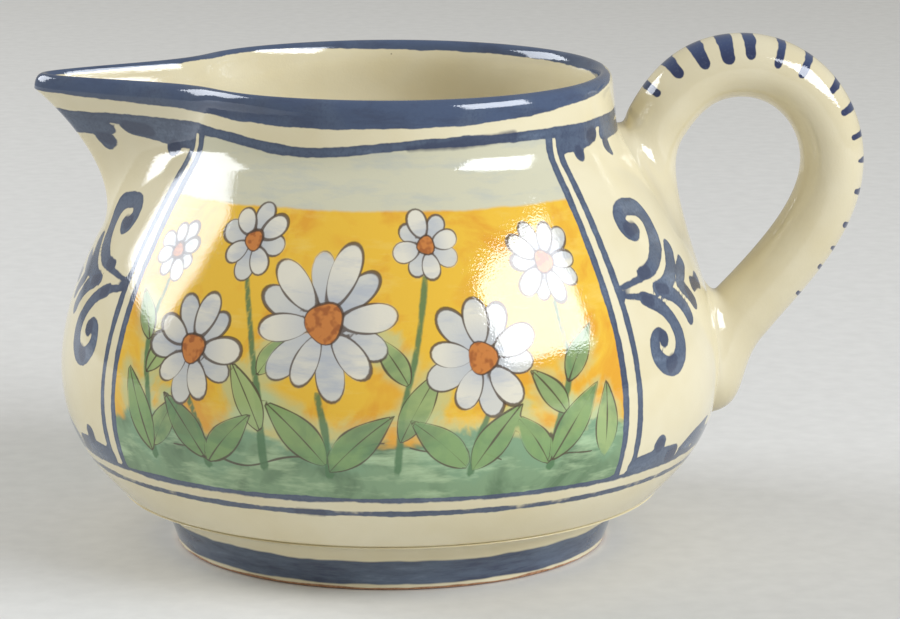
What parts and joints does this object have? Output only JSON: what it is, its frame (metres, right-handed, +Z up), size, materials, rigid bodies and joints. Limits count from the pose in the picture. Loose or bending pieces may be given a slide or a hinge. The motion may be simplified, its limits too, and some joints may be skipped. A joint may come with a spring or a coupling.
{
  "type": "cream jug",
  "caption": "Small round-bellied glazed earthenware cream jug with a straight collar, a pulled spout, a looped roll handle and a foot ring, for pouring cream or milk.",
  "frame": {"origin": "on the surface the jug stands on, under the middle of its overall length and width", "axes": "+X from the spout towards the handle, +Z up through the mouth"},
  "size_m": [0.1432, 0.1142, 0.0874],
  "materials": {
    "painted_glaze": "glossy cream tin glaze with hand-painted blue lines, scrolls and a coloured panel",
    "cream_glaze": "glossy cream tin glaze with short blue brush strokes along the outer ridge",
    "foot_glaze": "glossy cream glaze with a blue band, and a bare clay standing edge",
    "clay_slip": "fired clay slip under the glaze"
  },
  "bodies": {
    "root": {"body": "painted_glaze", "foot_ring": "foot_glaze", "foot_slip": "clay_slip", "handle": "cream_glaze", "upper_handle_slip": "clay_slip", "lower_handle_slip": "clay_slip"}
  },
  "joints": []
}
